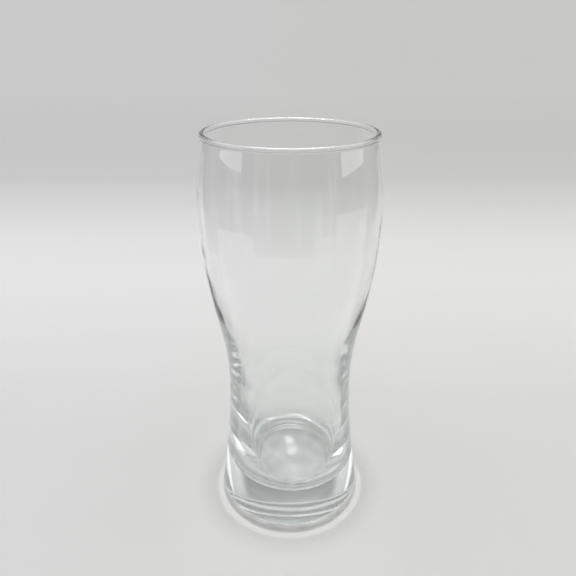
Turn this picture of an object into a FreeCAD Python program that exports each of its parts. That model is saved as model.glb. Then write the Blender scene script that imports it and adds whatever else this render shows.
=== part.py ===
"""A one-pint beer glass: a single piece of clear glass with a flared, solid foot, a narrow waist, a
full upper bowl and a fire-polished rim.

The glass is a solid of revolution about Z. It stands on Z = 0, and the origin is the centre of its
foot. Sizes are in millimetres.

Its outline is one closed loop in the XZ half-plane, run through in this order:
  underside   a shallow domed hollow, and the flat ring that the glass stands on
  foot edge   an arc from the standing ring to the leaning side of the foot
  outside     one smooth curve: flared foot, waist, shoulder, and in a little to the rim
  rim         a round bead, slightly thicker than the wall under it
  inside      one smooth curve: down the thin wall, which thickens below the waist, to the floor
"""

import FreeCAD, Part

import math
import os

# ---- driving dimensions -------------------------------------------------------------------------
HEIGHT = 193.0

# Underside of the foot.
STANDING_RING_INNER_R = 31.0
HOLLOW_DEPTH = 0.3  # of the domed hollow inside the standing ring, at the axis
FOOT_R = 37.4  # where the foot is widest, just above its rounded edge
FOOT_EDGE_RADIUS = 2.2
FOOT_LEAN_DEG = 9.5  # how far the foot's side leans in towards the waist

# Outside, as (radius, height) control points of the curve above the foot's edge.
FOOT_SIDE_LENGTH = 10.0  # straight lead-in of the curve along the foot's leaning side
OUTSIDE = [
    (32.4, 37.0),  # foot running up into the waist
    (30.5, 61.5),  # waist
    (30.4, 86.0),
    (35.0, 109.0),  # bowl opening out
    (39.2, 131.5),
    (40.6, 154.0),  # fullest part of the bowl
    (40.6, 174.5),
]

# Rim bead.
RIM_OUTER_R = 37.8
BEAD_RADIUS = 1.15
BEAD_ARC_ENDS_DEG = (-40, 220)  # where the bead's arc meets the outside and the inside
BEAD_STANDS_OUT = 0.3  # beyond the wall's face, on each side
BEAD_BLEND_HEIGHT = 4.6  # below the brim, where the wall has its own thickness
WALL_LEAN_UNDER_BEAD = 0.35  # the wall is this much further out there than under the bead itself

# Inside, as (radius, height) control points of the curve from the bead down to the floor.
FLOOR_HEIGHT = 17.5
INSIDE = [
    (39.3, 174.5),
    (39.3, 154.0),  # upper wall, about 1.3 thick
    (37.8, 131.5),
    (33.4, 109.0),
    (27.5, 88.0),  # wall thickening below the bowl
    (25.3, 65.5),
    (25.3, 43.0),  # narrow lower barrel
    (24.6, 27.0),
    (22.6, FLOOR_HEIGHT + 0.1),  # rounded corner of the floor
    (19.5, FLOOR_HEIGHT),
    (12.0, FLOOR_HEIGHT),
]


def at(radius, height):
    """A point of the outline."""
    return FreeCAD.Vector(radius, 0, height)


def smooth_curve(points):
    """A clamped cubic B-spline edge on these control points."""
    spans = len(points) - 3
    knots = [float(i) for i in range(spans + 1)]
    mults = [4] + [1] * (spans - 1) + [4]
    curve = Part.BSplineCurve()
    curve.buildFromPolesMultsKnots([at(*p) for p in points], mults, knots, False, 3)
    return curve.toShape()


def arc(start, middle, end):
    return Part.Arc(at(*start), at(*middle), at(*end)).toShape()


def line(start, end):
    return Part.LineSegment(at(*start), at(*end)).toShape()


def on_circle(centre, radius, degrees):
    """The point on a circle at an angle from the outward direction."""
    angle = math.radians(degrees)
    return (centre[0] + radius * math.cos(angle), centre[1] + radius * math.sin(angle))


def underside(foot_edge_r):
    """Domed hollow and standing ring, from the axis out to the foot's edge."""
    half_way = (STANDING_RING_INNER_R / 2, HOLLOW_DEPTH * 0.75)  # a shallow arc keeps 3/4 of its height
    hollow = arc((0, HOLLOW_DEPTH), half_way, (STANDING_RING_INNER_R, 0))
    ring = line((STANDING_RING_INNER_R, 0), (foot_edge_r, 0))
    return [hollow, ring]


def outline():
    """Every edge of the closed outline, in order."""
    edge_centre = (FOOT_R - FOOT_EDGE_RADIUS, FOOT_EDGE_RADIUS)
    edge_middle = on_circle(edge_centre, FOOT_EDGE_RADIUS, (FOOT_LEAN_DEG - 90) / 2)
    edge_top = on_circle(edge_centre, FOOT_EDGE_RADIUS, FOOT_LEAN_DEG)
    foot_edge = arc((edge_centre[0], 0), edge_middle, edge_top)
    foot_side = on_circle(edge_top, FOOT_SIDE_LENGTH, FOOT_LEAN_DEG + 90)

    bead_centre = (RIM_OUTER_R - BEAD_RADIUS, HEIGHT - BEAD_RADIUS)
    bead_top = on_circle(bead_centre, BEAD_RADIUS, 90)
    bead_outer, bead_inner = [on_circle(bead_centre, BEAD_RADIUS, end) for end in BEAD_ARC_ENDS_DEG]
    bead = arc(bead_outer, bead_top, bead_inner)

    wall_top = HEIGHT - BEAD_BLEND_HEIGHT
    wall_outer_r = RIM_OUTER_R - BEAD_STANDS_OUT + WALL_LEAN_UNDER_BEAD
    wall_inner_r = RIM_OUTER_R - 2 * BEAD_RADIUS + BEAD_STANDS_OUT + WALL_LEAN_UNDER_BEAD

    outside = smooth_curve([edge_top, foot_side] + OUTSIDE + [(wall_outer_r, wall_top), bead_outer])
    inside = smooth_curve([bead_inner, (wall_inner_r, wall_top)] + INSIDE + [(0, FLOOR_HEIGHT)])
    axis = line((0, FLOOR_HEIGHT), (0, HOLLOW_DEPTH))
    return underside(edge_centre[0]) + [foot_edge, outside, bead, inside, axis]


def glass():
    face = Part.Face(Part.Wire(outline()))
    return face.revolve(FreeCAD.Vector(0, 0, 0), FreeCAD.Vector(0, 0, 1), 360)


os.makedirs("parts", exist_ok=True)
glass().exportStep("parts/glass.step")
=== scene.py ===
"""The looks of the pint glass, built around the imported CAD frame.

The CAD node "glass" is a body of revolution about Z. The piece made here stands for it: the same outline,
as one smooth turned mesh, with the small unevenness that a real pressed and fire-polished glass has. Its
material is clear glass with a faint grey-green tint, drawn-out surface ripple and the odd smudge.
"""

import math

import bpy
import numpy as np
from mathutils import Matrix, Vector


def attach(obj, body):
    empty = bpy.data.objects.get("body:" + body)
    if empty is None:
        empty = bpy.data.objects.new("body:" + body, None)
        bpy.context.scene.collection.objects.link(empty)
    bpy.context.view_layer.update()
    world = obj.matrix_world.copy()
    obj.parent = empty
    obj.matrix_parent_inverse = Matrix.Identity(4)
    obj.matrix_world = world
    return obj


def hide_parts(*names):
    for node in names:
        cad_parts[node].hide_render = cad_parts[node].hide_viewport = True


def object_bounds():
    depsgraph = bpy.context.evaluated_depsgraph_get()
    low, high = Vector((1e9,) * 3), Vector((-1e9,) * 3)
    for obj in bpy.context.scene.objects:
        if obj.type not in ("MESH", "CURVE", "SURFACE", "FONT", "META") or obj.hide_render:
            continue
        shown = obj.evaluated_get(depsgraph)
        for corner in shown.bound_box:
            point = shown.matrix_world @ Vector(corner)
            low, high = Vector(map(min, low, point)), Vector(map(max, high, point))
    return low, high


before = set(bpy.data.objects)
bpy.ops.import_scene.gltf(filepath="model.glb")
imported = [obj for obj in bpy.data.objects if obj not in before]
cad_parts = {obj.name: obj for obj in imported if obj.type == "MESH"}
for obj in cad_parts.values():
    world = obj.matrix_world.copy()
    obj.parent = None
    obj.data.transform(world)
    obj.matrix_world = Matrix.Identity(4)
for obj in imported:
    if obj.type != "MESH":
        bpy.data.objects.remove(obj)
CAD_LOW, CAD_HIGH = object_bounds()
HEIGHT = CAD_HIGH[2] - CAD_LOW[2]

# ---- The outline of the glass, as (radius, height) in mm. The frame's height gives metres per mm.
HEIGHT_MM = 193.0
MM = HEIGHT / HEIGHT_MM

STANDING_RING_INNER_R = 31.0    # the ring that the glass stands on, and the shallow hollow inside it
HOLLOW_DEPTH = 0.3
FOOT_R = 37.4
FOOT_EDGE_RADIUS = 2.2
FOOT_LEAN_DEG = 9.5
FOOT_SIDE_LENGTH = 10.0
OUTSIDE = [
    (32.4, 37.0), (30.5, 61.5), (30.4, 86.0), (35.0, 109.0), (39.2, 131.5), (40.6, 154.0), (40.6, 174.5),
]
RIM_OUTER_R = 37.8
BEAD_RADIUS = 1.15
BEAD_STANDS_OUT = 0.3
BEAD_ARC_ENDS_DEG = (-40.0, 220.0)      # where the bead's round leaves the outside and meets the inside
BEAD_BLEND_HEIGHT = 4 * BEAD_RADIUS     # how far under the rim the wall starts to swell into the bead
WALL_LEAN_UNDER_BEAD = 0.35     # how much further out the wall is there than under the bead itself
FLOOR_HEIGHT = 17.5
INSIDE = [
    (39.3, 174.5), (39.3, 154.0), (37.8, 131.5), (33.4, 109.0), (27.5, 88.0),
    (25.3, 65.5), (25.3, 43.0), (24.6, 27.0), (22.6, FLOOR_HEIGHT + 0.1), (19.5, FLOOR_HEIGHT),
    (12.0, FLOOR_HEIGHT),
]

# ---- How far the real glass departs from the drawing.
CAVITY_SHIFT = 1.5              # mm: the bottom of the cavity sits this far off the axis, towards +X
SHIFT_FULL_BELOW = 0.0          # mm: height under which the whole shift holds
SHIFT_NONE_ABOVE = 95.0         # mm: height over which the cavity is central

# Faint ripple of the wall. Each wave: depth in mm, waves round the glass, mm from wave to wave up the wall,
# and phase in degrees.
OUTER_RIPPLE = [
    (0.025, 2, 61.0, 40.0), (0.012, 5, 23.0, 150.0), (0.006, 9, 14.0, 260.0), (0.004, 17, 90.0, 75.0),
]
INNER_RIPPLE = [
    (0.030, 1, 47.0, 200.0), (0.014, 4, 19.0, 310.0), (0.007, 7, 11.0, 20.0), (0.004, 13, 120.0, 130.0),
]
RIPPLE_FROM = 6.0               # mm: the ripple fades in above this height, and is whole at the next
RIPPLE_WHOLE = 20.0
RIPPLE_TO = 186.0               # and fades out under the rim, which fire polishing has made true
RIPPLE_OVER = 176.0
RIPPLE_R = 20.0                 # mm: and it is less on the floor of the cavity, nearer the axis than this

# ---- Mesh density.
SEGMENTS = 256
UNDERSIDE_STEPS = 20
EDGE_STEPS = 12
OUTSIDE_STEPS = 120
BEAD_STEPS = 22
INSIDE_STEPS = 160

# ---- Glass.
GLASS_IOR = 1.52
GREENISH = (0.962, 0.978, 0.966)        # the skin's colour drifts between these two
VIOLETISH = (0.974, 0.968, 0.978)
DRIFT_SCALE = 14.0
DRIFT_DETAIL = 1.0
BODY_TINT = (0.80, 0.88, 0.86)          # what the body of the glass takes from the light in the foot
BODY_TINT_DENSITY = 6.0
SMUDGE_SCALE = 55.0
SMUDGE_DETAIL = 5.0
SMUDGE_GRAIN = 0.6
SMUDGE_STRETCH = (1.0, 1.0, 0.45)       # wiped upwards, and a little askew
SMUDGE_TILT = (0.25, 0.1, 0.0)
SMUDGE_NOISE = (0.58, 0.80)             # the noise values at which a smudge begins, and is whole
SMUDGE_ROUGHNESS = 0.04
SKIN_SCALE = 160.0
SKIN_DETAIL = 1.0
SKIN_STRETCH = (1.0, 1.0, 0.30)
SKIN_STRENGTH = 0.25
SKIN_DEPTH = 0.00006                    # metres

# ---- Camera, in multiples of the glass's height: close, and looking down at it.
CAMERA_BACK = 1.194
CAMERA_UP = 1.1971
CAMERA_ASIDE = -0.0047
CAMERA_PITCH_DEG = 25.687
CAMERA_CLIP_START = 0.01        # metres
SENSOR_WIDTH = 36.0             # mm
LENS = 33.75                    # mm

# ---- Paper floor. The glow stands for light that the glass and the room gather on it.
PAPER_TONE = (0.85, 0.85, 0.83)
SURROUND_TONE = (0.72, 0.72, 0.71)
PAPER_ROUGHNESS = 0.7
PAPER_SHEEN = 0.2
GLOW_LEFT = (1.05, 1.02, 1.09)  # the light is cooler and a little stronger from the left
GLOW_RIGHT = (0.985, 1.0, 0.93)
GLOW_SIDE_REACH = 0.35          # metres to each side over which the one turns into the other
GLOW_REACH = 2.0                # metres behind the glass at which the last of these stops lies
GLOW_BEHIND = [
    (0.0, 0.235), (0.03, 0.235), (0.07, 0.250), (0.12, 0.280), (0.19, 0.308), (0.27, 0.328),
    (0.38, 0.310), (0.46, 0.268), (0.56, 0.211), (0.70, 0.151), (1.0, 0.141), (2.0, 0.168),
]
OPEN_APEX = -0.34               # metres along Y, so in front of the glass: the open side fans out from there
OPEN_EDGE = 0.74                # cosine of the angle off +Y at which the surround is whole
OPEN_INSIDE = 0.88              # and within which there is only paper
SURROUND_FROM = 0.26            # metres from the glass at which the surround begins, and is whole
SURROUND_FULL = 0.50

# ---- Light under and round the foot, as (metres from the axis, glow): one list for the middle, one for the
# outside, and three for the ring between them, namely for its front, its back and the part straight behind.
FOOT_GLOW_REACH = 0.08
FOOT_GLOW_YIELDS = 0.6          # part of that reach beyond which the floor's own glow takes over
FOOT_GLOW_INSIDE = [(0.0, 0.33), (0.010, 0.29), (0.017, 0.26), (0.024, 0.28)]
FOOT_GLOW_OUTSIDE = [
    (0.0366, 0.13), (0.0374, 0.33), (0.0396, 0.31), (0.0408, 0.20), (0.0430, 0.19), (0.0455, 0.22),
    (0.053, 0.265), (0.08, 0.275),
]
FOOT_GLOW_FRONT = [
    (0.028, 0.38), (0.0287, 0.46), (0.0292, 0.26), (0.0315, 0.23), (0.0325, 0.16), (0.0345, 0.12),
    (0.0360, 0.11),
]
FOOT_GLOW_BACK = [
    (0.0255, 0.17), (0.0285, 0.12), (0.0290, 0.15), (0.0305, 0.15), (0.0312, 0.12), (0.0345, 0.11),
    (0.0355, 0.10),
]
FOOT_GLOW_FAR_BACK = [
    (0.0255, 0.18), (0.0285, 0.14), (0.0290, 0.46), (0.0305, 0.46), (0.0312, 0.17), (0.0345, 0.15),
    (0.0355, 0.10),
]
BACK_TAKES_OVER = (-0.30, 0.10)         # cosines of the angle off +Y: where each begins, and is whole
FAR_BACK_TAKES_OVER = (0.90, 0.975)
# Two bright spots from the ceiling lights: metres along X and along Y, radius in metres, and what they add.
FOOT_SPOTS = [(-0.0016, 0.0185, 0.0060, 0.40), (0.0002, 0.0105, 0.0060, 0.34)]
FOOT_MOTTLE = (0.62, 1.38)      # the least and the most that uneven glass does to the light under the foot
MOTTLE_SCALE = 95.0
MOTTLE_DETAIL = 2.0
MOTTLE_NOISE = (0.3, 0.7)       # the noise values that stand for that least and most
MOTTLE_FADES = (0.0345, 0.0375)     # metres from the axis over which it dies away

# ---- Floor, in metres.
FLOOR_RADIUS = 6.0
FLOOR_FLAT_RADIUS = 2.0         # beyond this it sweeps up, so that the camera sees no horizon
FLOOR_RISE = 0.6                # how far its edge stands above the table
FLOOR_RINGS = [0.1, 0.3, 0.6, 1.0, FLOOR_FLAT_RADIUS, 2.5, 3.0, 3.5, 4.0, 4.5, 5.0, 5.5, FLOOR_RADIUS]
FLOOR_SEGMENTS = 96
FLOOR_SINK = 0.00005            # how far the foot's flat ring sinks into the soft paper

# ---- Cards that only reflections show: bearings in degrees from +X towards +Y, the radius and height of the
# near and far edges in metres, and the two tones of the streaks.
CARDS = {
    "room_card": ((195.0, 345.0), (0.42, 0.0), (0.42, 0.45), (0.0, 1.0)),
    "left_window_card": ((181.0, 214.0), (0.33, 0.187), (0.33, 0.30), (2.6, 3.4)),
    "right_window_card": ((329.0, 363.0), (0.33, 0.180), (0.33, 0.30), (2.6, 3.4)),
    "left_wall_card": ((128.0, 152.0), (0.20, 0.0), (0.20, 0.170), (0.6, 1.0)),
    "left_low_card": ((152.0, 176.0), (0.20, 0.0), (0.20, 0.065), (0.7, 1.0)),
    "right_wall_card": ((28.0, 52.0), (0.20, 0.0), (0.20, 0.170), (0.6, 1.0)),
    "right_low_card": ((8.0, 28.0), (0.20, 0.0), (0.20, 0.060), (0.7, 1.0)),
    "table_card": ((226.0, 299.0), (0.062, 0.0006), (0.34, 0.0006), (1.2, 1.5)),
    "left_table_card": ((176.0, 226.0), (0.062, 0.0006), (0.41, 0.020), (1.2, 1.5)),
    "right_table_card": ((299.0, 322.0), (0.062, 0.0006), (0.41, 0.020), (1.2, 1.5)),
    "far_right_table_card": ((322.0, 368.0), (0.062, 0.0006), (0.41, 0.075), (1.1, 1.4)),
    "overhead_card": ((0.0, 360.0), (0.03, 0.70), (0.30, 0.70), (3.0, 20.0)),
}
CARD_SEGMENTS = 24
STREAK_SCALE = 11.0
STREAK_DETAIL = 3.0
STREAK_STRETCH = (1.0, 1.0, 0.25)
STREAK_NOISE = (0.45, 0.66)     # the noise values that stand for the two tones

# ---- Room: its brightness from the horizon (0) to overhead (1), as (sine of elevation, value).
WORLD_AROUND = [
    (0.0, 0.35), (0.14, 0.35), (0.25, 0.36), (0.44, 0.38), (0.52, 0.72), (0.72, 0.72), (0.80, 0.42),
    (1.0, 0.38),
]
WORLD_BEHIND = [
    (0.0, 0.585), (0.14, 0.585), (0.24, 0.46), (0.34, 0.27), (0.45, 0.20), (0.58, 0.22), (0.68, 0.28),
    (0.73, 0.38), (0.78, 0.62), (0.90, 0.62), (1.0, 0.50),
]
WALL_WITHIN = 0.83              # cosine of the angle off +Y within which only the second list counts
WALL_ENDS = 0.68                # and beyond which only the first does

# ---- Lamps: bearing in degrees from +X towards +Y, elevation in degrees, size in metres, and brightness.
LAMPS = {
    "left_soft_box": (168.0, 43.0, 0.45, 0.60),
    "right_soft_box": (10.0, 41.0, 0.45, 0.60),
}
LAMP_DISTANCE = 1.2             # metres from the glass

# ---- Light's path: enough bounces to cross the thick foot.
MAX_BOUNCES = 32
TRANSMISSION_BOUNCES = 24
GLOSSY_BOUNCES = 16


def on_circle(centre, radius, degrees):
    """The point on a circle in the (radius, height) plane at an angle from the outward direction."""
    angle = math.radians(degrees)
    return centre[0] + radius * math.cos(angle), centre[1] + radius * math.sin(angle)


def arc(centre, radius, start, end, steps):
    """Points along an arc, both ends included."""
    return [on_circle(centre, radius, start + (end - start) * i / steps) for i in range(steps + 1)]


def smooth_curve(poles, steps, degree=3):
    """Points along the clamped cubic B-spline with these poles (de Boor's algorithm)."""
    poles = np.array(poles, float)
    spans = len(poles) - degree
    knots = [0] * degree + list(range(spans + 1)) + [spans] * degree
    points = []
    for u in np.linspace(0, spans, steps + 1):
        first = min(int(u), spans - 1)
        d = [poles[first + j].copy() for j in range(degree + 1)]
        for level in range(1, degree + 1):
            for j in range(degree, level - 1, -1):
                low = knots[first + j]
                high = knots[first + j + 1 + degree - level]
                blend = (u - low) / (high - low)
                d[j] = (1 - blend) * d[j - 1] + blend * d[j]
        points.append(tuple(d[degree]))
    return points


def underside():
    """The shallow domed hollow, from the axis out to the standing ring."""
    dome_radius = (STANDING_RING_INNER_R ** 2 + HOLLOW_DEPTH ** 2) / (2 * HOLLOW_DEPTH)
    radii = [STANDING_RING_INNER_R * i / UNDERSIDE_STEPS for i in range(UNDERSIDE_STEPS + 1)]
    return [(r, math.sqrt(dome_radius ** 2 - r ** 2) - dome_radius + HOLLOW_DEPTH) for r in radii]


def outline():
    """The whole section from the axis underneath, round the outside and the rim, to the axis on the floor.

    Returns its points and the index of the first point of the inside."""
    edge_centre = (FOOT_R - FOOT_EDGE_RADIUS, FOOT_EDGE_RADIUS)
    foot_edge = arc(edge_centre, FOOT_EDGE_RADIUS, -90.0, FOOT_LEAN_DEG, EDGE_STEPS)
    foot_side = on_circle(foot_edge[-1], FOOT_SIDE_LENGTH, FOOT_LEAN_DEG + 90.0)
    bead_centre = (RIM_OUTER_R - BEAD_RADIUS, HEIGHT_MM - BEAD_RADIUS)
    bead = arc(bead_centre, BEAD_RADIUS, *BEAD_ARC_ENDS_DEG, BEAD_STEPS)
    under_bead = HEIGHT_MM - BEAD_BLEND_HEIGHT
    wall_outer = (RIM_OUTER_R - BEAD_STANDS_OUT + WALL_LEAN_UNDER_BEAD, under_bead)
    wall_inner = (RIM_OUTER_R - 2 * BEAD_RADIUS + BEAD_STANDS_OUT + WALL_LEAN_UNDER_BEAD, under_bead)
    outside = smooth_curve([foot_edge[-1], foot_side] + OUTSIDE + [wall_outer, bead[0]], OUTSIDE_STEPS)
    inside = smooth_curve([bead[-1], wall_inner] + INSIDE + [(0.0, FLOOR_HEIGHT)], INSIDE_STEPS)
    outer_points = underside() + foot_edge + outside[1:] + bead[1:]
    return outer_points + inside[1:], len(outer_points)


def smoothstep(value, zero_at, one_at):
    """0 at zero_at, 1 at one_at and beyond, with no corner at either."""
    t = np.clip((value - zero_at) / (one_at - zero_at), 0.0, 1.0)
    return t * t * (3 - 2 * t)


def ripple(waves, angles, height):
    """How far the wall stands out at one height, in mm, for each angle round it."""
    stands_out = sum(
        depth * np.cos(round_waves * angles + 2 * math.pi * height / pitch + math.radians(phase))
        for depth, round_waves, pitch, phase in waves
    )
    fade_in = smoothstep(height, RIPPLE_FROM, RIPPLE_WHOLE)
    return stands_out * fade_in * smoothstep(height, RIPPLE_TO, RIPPLE_OVER)


def turned(name, points, first_inside):
    """A closed quad mesh turned about Z, with a fan of triangles at each pole."""
    angles = np.linspace(0.0, 2 * math.pi, SEGMENTS, endpoint=False)
    rows = []
    for index, (radius, height) in enumerate(points[1:-1], start=1):
        inside = index >= first_inside
        waves = INNER_RIPPLE if inside else OUTER_RIPPLE
        out = radius + ripple(waves, angles, height) * min(1.0, radius / RIPPLE_R)
        row = np.column_stack([out * np.cos(angles), out * np.sin(angles), np.full(SEGMENTS, height)])
        if inside:
            row[:, 0] += CAVITY_SHIFT * smoothstep(height, SHIFT_NONE_ABOVE, SHIFT_FULL_BELOW)
        rows.append(row)
    bottom = (0.0, 0.0, points[0][1])
    top = (CAVITY_SHIFT, 0.0, points[-1][1])
    vertices = np.vstack([[bottom]] + rows + [[top]]) * MM
    vertices[:, 2] += CAD_LOW[2]

    faces = []
    last = len(vertices) - 1
    for i in range(SEGMENTS):
        j = (i + 1) % SEGMENTS
        faces.append((0, 1 + j, 1 + i))
        for row in range(len(rows) - 1):
            a = 1 + row * SEGMENTS
            b = a + SEGMENTS
            faces.append((a + i, a + j, b + j, b + i))
        a = 1 + (len(rows) - 1) * SEGMENTS
        faces.append((a + i, a + j, last))
    mesh = bpy.data.meshes.new(name)
    mesh.from_pydata(vertices.tolist(), [], faces)
    mesh.polygons.foreach_set("use_smooth", [True] * len(mesh.polygons))
    mesh.update()
    piece = bpy.data.objects.new(name, mesh)
    bpy.context.scene.collection.objects.link(piece)
    return piece


def new_material(name):
    """An empty node material: its node tree, and its output node."""
    material = bpy.data.materials.new(name)
    material.use_nodes = True
    material.node_tree.nodes.clear()
    output = material.node_tree.nodes.new("ShaderNodeOutputMaterial")
    return material, material.node_tree, output


def grey_ramp(tree, stops):
    """A grey colour ramp with these (place, value) stops."""
    node = tree.nodes.new("ShaderNodeValToRGB")
    node.color_ramp.interpolation = "EASE"
    elements = node.color_ramp.elements
    elements.remove(elements[-1])
    elements[0].position = stops[0][0]
    elements[0].color = (stops[0][1],) * 3 + (1.0,)
    for place, value in stops[1:]:
        element = elements.new(place)
        element.color = (value,) * 3 + (1.0,)
    return node


def soft_step(tree, zero_at, one_at):
    """A node that rises smoothly from 0 to 1 between two values of its input."""
    node = tree.nodes.new("ShaderNodeMapRange")
    node.interpolation_type = "SMOOTHSTEP"
    node.inputs["From Min"].default_value = zero_at
    node.inputs["From Max"].default_value = one_at
    return node


def noise(tree, vector, scale, detail, grain=0.5):
    """A node socket: soft noise over the place that the vector gives."""
    node = tree.nodes.new("ShaderNodeTexNoise")
    node.inputs["Scale"].default_value = scale
    node.inputs["Detail"].default_value = detail
    node.inputs["Roughness"].default_value = grain
    tree.links.new(vector, node.inputs["Vector"])
    return node.outputs["Fac"]


def stretched(tree, vector, scale, tilt=(0.0, 0.0, 0.0)):
    """A node socket: the vector turned by a tilt in radians and scaled along each axis."""
    node = tree.nodes.new("ShaderNodeMapping")
    node.inputs["Scale"].default_value = scale
    node.inputs["Rotation"].default_value = tilt
    tree.links.new(vector, node.inputs["Vector"])
    return node.outputs["Vector"]


def clear_glass():
    """Clear soda-lime glass with a faint grey-green body tint.

    Its skin has a slight drawn ripple finer than the mesh's own, a trace of colour that drifts from greenish
    to violet, and a few wiped smudges that are a little less polished."""
    material, tree, output = new_material("clear_glass")
    shader = tree.nodes.new("ShaderNodeBsdfPrincipled")
    shader.inputs["Transmission Weight"].default_value = 1.0
    shader.inputs["IOR"].default_value = GLASS_IOR
    place = tree.nodes.new("ShaderNodeTexCoord").outputs["Object"]

    tone = tree.nodes.new("ShaderNodeMix")
    tone.data_type = "RGBA"
    tone.inputs["A"].default_value = GREENISH + (1.0,)
    tone.inputs["B"].default_value = VIOLETISH + (1.0,)
    tree.links.new(noise(tree, place, DRIFT_SCALE, DRIFT_DETAIL), tone.inputs["Factor"])
    tree.links.new(tone.outputs["Result"], shader.inputs["Base Color"])

    wiped = stretched(tree, place, SMUDGE_STRETCH, SMUDGE_TILT)
    smudges = noise(tree, wiped, SMUDGE_SCALE, SMUDGE_DETAIL, SMUDGE_GRAIN)
    polish = soft_step(tree, *SMUDGE_NOISE)
    polish.inputs["To Max"].default_value = SMUDGE_ROUGHNESS
    tree.links.new(smudges, polish.inputs["Value"])
    tree.links.new(polish.outputs["Result"], shader.inputs["Roughness"])

    fine_ripple = noise(tree, stretched(tree, place, SKIN_STRETCH), SKIN_SCALE, SKIN_DETAIL)
    skin = tree.nodes.new("ShaderNodeBump")
    skin.inputs["Strength"].default_value = SKIN_STRENGTH
    skin.inputs["Distance"].default_value = SKIN_DEPTH
    tree.links.new(fine_ripple, skin.inputs["Height"])
    tree.links.new(skin.outputs["Normal"], shader.inputs["Normal"])

    tint = tree.nodes.new("ShaderNodeVolumeAbsorption")
    tint.inputs["Color"].default_value = BODY_TINT + (1.0,)
    tint.inputs["Density"].default_value = BODY_TINT_DENSITY
    tree.links.new(shader.outputs["BSDF"], output.inputs["Surface"])
    tree.links.new(tint.outputs["Volume"], output.inputs["Volume"])
    return material


def matt(tree, tone):
    """A matt paper-like shader of one tone."""
    shader = tree.nodes.new("ShaderNodeBsdfPrincipled")
    shader.inputs["Base Color"].default_value = tone + (1.0,)
    shader.inputs["Roughness"].default_value = PAPER_ROUGHNESS
    shader.inputs["Specular IOR Level"].default_value = PAPER_SHEEN
    return shader


def cosine_off_y(tree, vector, apex):
    """A node socket: the cosine, in plan, of the angle from +Y to the line from (0, apex, 0) to a place."""
    shift = tree.nodes.new("ShaderNodeVectorMath")
    shift.inputs[1].default_value = (0.0, -apex, 0.0)
    flatten = tree.nodes.new("ShaderNodeVectorMath")
    flatten.operation = "MULTIPLY"
    flatten.inputs[1].default_value = (1.0, 1.0, 0.0)
    unit = tree.nodes.new("ShaderNodeVectorMath")
    unit.operation = "NORMALIZE"
    axes = tree.nodes.new("ShaderNodeSeparateXYZ")
    tree.links.new(vector, shift.inputs[0])
    tree.links.new(shift.outputs["Vector"], flatten.inputs[0])
    tree.links.new(flatten.outputs["Vector"], unit.inputs[0])
    tree.links.new(unit.outputs["Vector"], axes.inputs["Vector"])
    return axes.outputs["Y"]


def multiplied(tree, first, second):
    """A node socket: the product of two values."""
    node = tree.nodes.new("ShaderNodeMath")
    node.operation = "MULTIPLY"
    tree.links.new(first, node.inputs[0])
    tree.links.new(second, node.inputs[1])
    return node.outputs["Value"]


def blended(tree, amount, first, second):
    """A node socket: the first value where the amount is 0, the second where it is 1."""
    node = tree.nodes.new("ShaderNodeMix")
    tree.links.new(amount, node.inputs["Factor"])
    tree.links.new(first, node.inputs["A"])
    tree.links.new(second, node.inputs["B"])
    return node.outputs["Result"]


def spot_added(tree, value, place, centre, radius, amount):
    """A node socket: the value, raised by an amount at the centre and by nothing beyond the radius."""
    away = tree.nodes.new("ShaderNodeVectorMath")
    away.operation = "DISTANCE"
    away.inputs[1].default_value = centre
    spot = soft_step(tree, radius, 0.0)
    spot.inputs["To Max"].default_value = amount
    total = tree.nodes.new("ShaderNodeMath")
    tree.links.new(place, away.inputs[0])
    tree.links.new(away.outputs["Value"], spot.inputs["Value"])
    tree.links.new(value, total.inputs[0])
    tree.links.new(spot.outputs["Result"], total.inputs[1])
    return total.outputs["Value"]


def light_under_foot(tree, place, distance):
    """A node socket: how much the paper glows near the foot, by distance from the axis and by bearing."""
    near = tree.nodes.new("ShaderNodeMapRange")
    near.inputs["From Max"].default_value = FOOT_GLOW_REACH
    tree.links.new(distance, near.inputs["Value"])
    sectors = []
    for ring in (FOOT_GLOW_FRONT, FOOT_GLOW_BACK, FOOT_GLOW_FAR_BACK):
        stops = FOOT_GLOW_INSIDE + ring + FOOT_GLOW_OUTSIDE
        ramp = grey_ramp(tree, [(metres / FOOT_GLOW_REACH, value) for metres, value in stops])
        tree.links.new(near.outputs["Result"], ramp.inputs["Fac"])
        sectors.append(ramp.outputs["Color"])
    light = sectors[0]
    backward = cosine_off_y(tree, place, 0.0)
    for limits, sector in zip((BACK_TAKES_OVER, FAR_BACK_TAKES_OVER), sectors[1:]):
        share = soft_step(tree, *limits)
        tree.links.new(backward, share.inputs["Value"])
        light = blended(tree, share.outputs["Result"], light, sector)
    for x, y, radius, amount in FOOT_SPOTS:
        light = spot_added(tree, light, place, (x, y, 0.0), radius, amount)

    mottle = tree.nodes.new("ShaderNodeMapRange")
    mottle.inputs["From Min"].default_value = MOTTLE_NOISE[0]
    mottle.inputs["From Max"].default_value = MOTTLE_NOISE[1]
    mottle.inputs["To Min"].default_value = FOOT_MOTTLE[0]
    mottle.inputs["To Max"].default_value = FOOT_MOTTLE[1]
    tree.links.new(noise(tree, place, MOTTLE_SCALE, MOTTLE_DETAIL), mottle.inputs["Value"])
    fade = soft_step(tree, *MOTTLE_FADES)
    mottled = multiplied(tree, light, mottle.outputs["Result"])
    tree.links.new(distance, fade.inputs["Value"])
    return blended(tree, fade.outputs["Result"], mottled, light)


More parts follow.
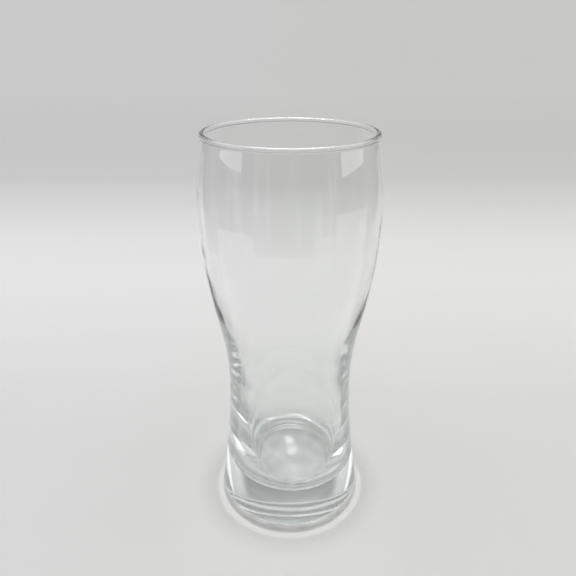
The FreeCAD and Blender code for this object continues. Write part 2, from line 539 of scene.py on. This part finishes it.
def paper():
    """Matt paper with a soft glow. On all sides but the back it fades into a darker surround."""
    material, tree, output = new_material("studio_paper")
    sheet = matt(tree, PAPER_TONE)
    surround = matt(tree, SURROUND_TONE)
    place = tree.nodes.new("ShaderNodeTexCoord")
    axes = tree.nodes.new("ShaderNodeSeparateXYZ")
    distance = tree.nodes.new("ShaderNodeVectorMath")
    distance.operation = "LENGTH"
    behind = tree.nodes.new("ShaderNodeMapRange")
    behind.inputs["From Max"].default_value = GLOW_REACH
    table_glow = grey_ramp(tree, [(metres / GLOW_REACH, value) for metres, value in GLOW_BEHIND])
    clear_of_foot = soft_step(tree, FOOT_GLOW_YIELDS * FOOT_GLOW_REACH, FOOT_GLOW_REACH)
    tree.links.new(place.outputs["Object"], axes.inputs["Vector"])
    tree.links.new(place.outputs["Object"], distance.inputs[0])
    tree.links.new(axes.outputs["Y"], behind.inputs["Value"])
    tree.links.new(behind.outputs["Result"], table_glow.inputs["Fac"])
    tree.links.new(distance.outputs["Value"], clear_of_foot.inputs["Value"])
    foot_glow = light_under_foot(tree, place.outputs["Object"], distance.outputs["Value"])
    glow = blended(tree, clear_of_foot.outputs["Result"], foot_glow, table_glow.outputs["Color"])
    tree.links.new(glow, sheet.inputs["Emission Strength"])

    across = soft_step(tree, -GLOW_SIDE_REACH, GLOW_SIDE_REACH)
    tint = tree.nodes.new("ShaderNodeMix")
    tint.data_type = "RGBA"
    tint.inputs["A"].default_value = GLOW_LEFT + (1.0,)
    tint.inputs["B"].default_value = GLOW_RIGHT + (1.0,)
    tree.links.new(axes.outputs["X"], across.inputs["Value"])
    tree.links.new(across.outputs["Result"], tint.inputs["Factor"])
    tree.links.new(tint.outputs["Result"], sheet.inputs["Emission Color"])

    aside = soft_step(tree, OPEN_INSIDE, OPEN_EDGE)
    away = soft_step(tree, SURROUND_FROM, SURROUND_FULL)
    mix = tree.nodes.new("ShaderNodeMixShader")
    tree.links.new(cosine_off_y(tree, place.outputs["Object"], OPEN_APEX), aside.inputs["Value"])
    tree.links.new(distance.outputs["Value"], away.inputs["Value"])
    tree.links.new(multiplied(tree, aside.outputs["Result"], away.outputs["Result"]), mix.inputs["Fac"])
    tree.links.new(sheet.outputs["BSDF"], mix.inputs[1])
    tree.links.new(surround.outputs["BSDF"], mix.inputs[2])
    tree.links.new(mix.outputs["Shader"], output.inputs["Surface"])
    return material


def floor():
    """A wide round floor under the glass, flat but for its far edge, which sweeps up."""
    level = CAD_LOW[2] + FLOOR_SINK
    vertices = [(0.0, 0.0, level)]
    for radius in FLOOR_RINGS:
        sweep = max(0.0, (radius - FLOOR_FLAT_RADIUS) / (FLOOR_RADIUS - FLOOR_FLAT_RADIUS))
        for i in range(FLOOR_SEGMENTS):
            angle = 2 * math.pi * i / FLOOR_SEGMENTS
            height = level + FLOOR_RISE * sweep ** 2
            vertices.append((radius * math.cos(angle), radius * math.sin(angle), height))
    faces = []
    for i in range(FLOOR_SEGMENTS):
        j = (i + 1) % FLOOR_SEGMENTS
        faces.append((0, 1 + i, 1 + j))
        for ring in range(len(FLOOR_RINGS) - 1):
            a = 1 + ring * FLOOR_SEGMENTS
            b = a + FLOOR_SEGMENTS
            faces.append((a + i, b + i, b + j, a + j))
    mesh = bpy.data.meshes.new("floor")
    mesh.from_pydata(vertices, [], faces)
    mesh.polygons.foreach_set("use_smooth", [True] * len(mesh.polygons))
    mesh.update()
    mesh.materials.append(paper())
    piece = bpy.data.objects.new("floor", mesh)
    bpy.context.scene.collection.objects.link(piece)


def card(name, bearings, near, far, tones):
    """A curved card that only the glass's reflections show, streaked between two tones."""
    start, end = bearings
    across = CARD_SEGMENTS + 1
    turns = [math.radians(start + (end - start) * i / CARD_SEGMENTS) for i in range(across)]
    vertices = [(radius * math.cos(b), radius * math.sin(b), z) for radius, z in (near, far) for b in turns]
    faces = [(i, i + 1, across + i + 1, across + i) for i in range(CARD_SEGMENTS)]
    mesh = bpy.data.meshes.new(name)
    mesh.from_pydata(vertices, [], faces)
    mesh.update()
    material, tree, output = new_material(name)
    place = tree.nodes.new("ShaderNodeTexCoord").outputs["Object"]
    upright = stretched(tree, place, STREAK_STRETCH)
    streaks = noise(tree, upright, STREAK_SCALE, STREAK_DETAIL)
    tone = grey_ramp(tree, list(zip(STREAK_NOISE, tones)))
    light = tree.nodes.new("ShaderNodeEmission")
    tree.links.new(streaks, tone.inputs["Fac"])
    tree.links.new(tone.outputs["Color"], light.inputs["Color"])
    tree.links.new(light.outputs["Emission"], output.inputs["Surface"])
    mesh.materials.append(material)
    piece = bpy.data.objects.new(name, mesh)
    bpy.context.scene.collection.objects.link(piece)
    piece.visible_camera = False
    piece.visible_diffuse = False
    piece.visible_transmission = False
    piece.visible_shadow = False


def cards():
    """What the skin of the glass reflects: a dim, streaky room ahead, a bright window on each side, the pale
    walls and table beside it, the table in front, and the ceiling light that the rim catches."""
    for name, (bearings, near, far, tones) in CARDS.items():
        card(name, bearings, near, far, tones)


def room():
    """Soft light from all round, different behind the glass from what it is on the other sides."""
    world = bpy.data.worlds.new("room")
    bpy.context.scene.world = world
    world.use_nodes = True
    tree = world.node_tree
    tree.nodes.clear()
    output = tree.nodes.new("ShaderNodeOutputWorld")
    background = tree.nodes.new("ShaderNodeBackground")
    direction = tree.nodes.new("ShaderNodeTexCoord")
    axes = tree.nodes.new("ShaderNodeSeparateXYZ")
    aside = soft_step(tree, WALL_WITHIN, WALL_ENDS)
    behind = grey_ramp(tree, WORLD_BEHIND)
    around = grey_ramp(tree, WORLD_AROUND)
    mix = tree.nodes.new("ShaderNodeMix")
    mix.data_type = "RGBA"
    tree.links.new(direction.outputs["Generated"], axes.inputs["Vector"])
    tree.links.new(cosine_off_y(tree, direction.outputs["Generated"], 0.0), aside.inputs["Value"])
    tree.links.new(axes.outputs["Z"], behind.inputs["Fac"])
    tree.links.new(axes.outputs["Z"], around.inputs["Fac"])
    tree.links.new(aside.outputs["Result"], mix.inputs["Factor"])
    tree.links.new(behind.outputs["Color"], mix.inputs["A"])
    tree.links.new(around.outputs["Color"], mix.inputs["B"])
    tree.links.new(mix.outputs["Result"], background.inputs["Color"])
    tree.links.new(background.outputs["Background"], output.inputs["Surface"])


def lamps():
    """A soft box on each side, a little behind the glass."""
    for name, (bearing, elevation, size, brightness) in LAMPS.items():
        data = bpy.data.lights.new(name, "AREA")
        data.shape = "DISK"
        data.size = size
        data.energy = brightness * math.pi * math.pi * size ** 2 / 4
        lamp = bpy.data.objects.new(name, data)
        turn = math.radians(bearing)
        rise = math.radians(elevation)
        away = Vector((math.cos(turn) * math.cos(rise), math.sin(turn) * math.cos(rise), math.sin(rise)))
        lamp.location = away * LAMP_DISTANCE
        lamp.rotation_euler = away.to_track_quat("Z", "Y").to_euler()
        bpy.context.scene.collection.objects.link(lamp)


def camera():
    """The camera, at its place in front of the glass."""
    data = bpy.data.cameras.new("camera")
    data.sensor_width = SENSOR_WIDTH
    data.lens = LENS
    data.clip_start = CAMERA_CLIP_START
    eye = bpy.data.objects.new("camera", data)
    eye.location = (CAMERA_ASIDE * HEIGHT, -CAMERA_BACK * HEIGHT, CAD_LOW[2] + CAMERA_UP * HEIGHT)
    eye.rotation_euler = (math.radians(90.0 - CAMERA_PITCH_DEG), 0.0, 0.0)
    bpy.context.scene.collection.objects.link(eye)
    bpy.context.scene.camera = eye


def render_look():
    """Plain display colours, and enough bounces."""
    scene = bpy.context.scene
    scene.view_settings.view_transform = "Standard"
    scene.cycles.max_bounces = MAX_BOUNCES
    scene.cycles.transmission_bounces = TRANSMISSION_BOUNCES
    scene.cycles.glossy_bounces = GLOSSY_BOUNCES


def glass():
    """The glass itself, standing for the CAD node of the same shape."""
    points, first_inside = outline()
    piece = turned("pint_glass", points, first_inside)
    piece.data.materials.append(clear_glass())
    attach(piece, "root")
    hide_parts("glass")


glass()
floor()
cards()
room()
lamps()
camera()
render_look()
